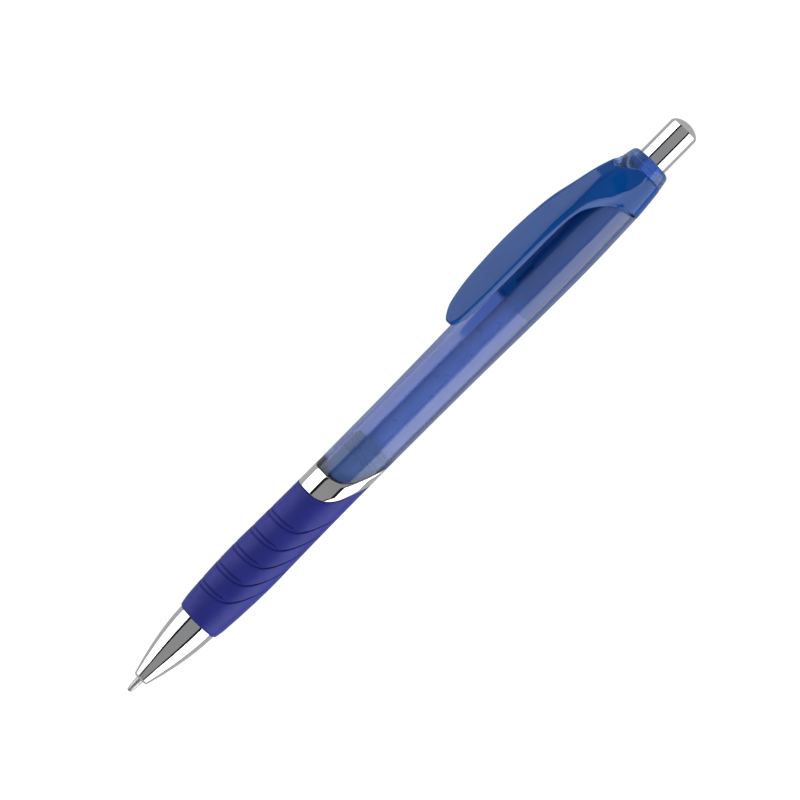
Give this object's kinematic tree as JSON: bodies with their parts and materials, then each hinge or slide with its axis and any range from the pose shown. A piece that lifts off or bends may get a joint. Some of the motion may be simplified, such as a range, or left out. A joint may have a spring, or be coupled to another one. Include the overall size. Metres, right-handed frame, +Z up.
{
  "type": "retractable gel pen",
  "caption": "Click pen with a translucent blue barrel, ribbed soft grip, slanted chrome ring, moulded pocket clip and chrome push button, lying on its side with the point out.",
  "frame": {"origin": "under the middle of the pen's bounding box, on the surface the pen lies on", "axes": "+X along the pen from the writing point to the button, +Z up, with the pen lying on its barrel and one edge of its clip, the clip on the +Y side"},
  "size_m": [0.1448, 0.0166, 0.0111],
  "materials": {
    "chrome": "bright mirror chrome plating",
    "steel": "drawn spring steel and hard ball",
    "tip_metal": "turned nickel silver, stepped and bright",
    "grip_rubber": "matt deep blue-violet soft rubber",
    "barrel_blue": "glossy translucent blue moulding",
    "cap_blue": "glossy, nearly opaque blue-violet moulding",
    "collar_blue": "glossy, lighter translucent blue moulding",
    "grey_plastic": "satin grey moulding",
    "dark_plastic": "satin dark blue moulding",
    "clear_plastic": "milky clear extruded or moulded plastic",
    "ink": "wet dark blue gel",
    "grease": "pale translucent grease"
  },
  "bodies": {
    "pen_body": {"grip_core": "grey_plastic", "nose_cone": "chrome", "grip_sleeve": "grip_rubber", "centre_ring": "chrome", "upper_barrel": "barrel_blue", "clip_cap": "cap_blue", "top_collar": "collar_blue", "guide_sleeve": "dark_plastic", "return_spring": "steel"},
    "button": {"push_button": "chrome", "thrust_cam": "dark_plastic"},
    "refill": {"ink_tube": "clear_plastic", "ink_column": "ink", "grease_follower": "grease", "refill_plug": "clear_plastic", "tip_holder": "clear_plastic", "tip_cone": "tip_metal", "ball_spring": "steel"},
    "rotor": {"rotor_cam": "dark_plastic"},
    "ball": {"writing_ball": "steel"}
  },
  "joints": [
    {"name": "button_press", "type": "slide", "parent": "pen_body", "child": "button", "axis": [-1, 0, 0], "range_m": [-0.0055, 0.0015]},
    {"name": "refill_slide", "type": "slide", "parent": "pen_body", "child": "refill", "axis": [-1, 0, 0], "range_m": [-0.0055, 0.0015], "deforming": ["return_spring"]},
    {"name": "rotor_turn", "type": "hinge", "parent": "refill", "child": "rotor", "pos_m": [0.03603, -0.00272, 0.00555], "axis": [1, 0, 0], "continuous": true},
    {"name": "ball_roll", "type": "hinge", "parent": "refill", "child": "ball", "pos_m": [-0.0721, -0.00272, 0.00555], "axis": [0, 1, 0], "continuous": true}
  ],
  "couplings": [
    {"joint": "refill_slide", "follows": "button_press", "ratio": 1}
  ]
}
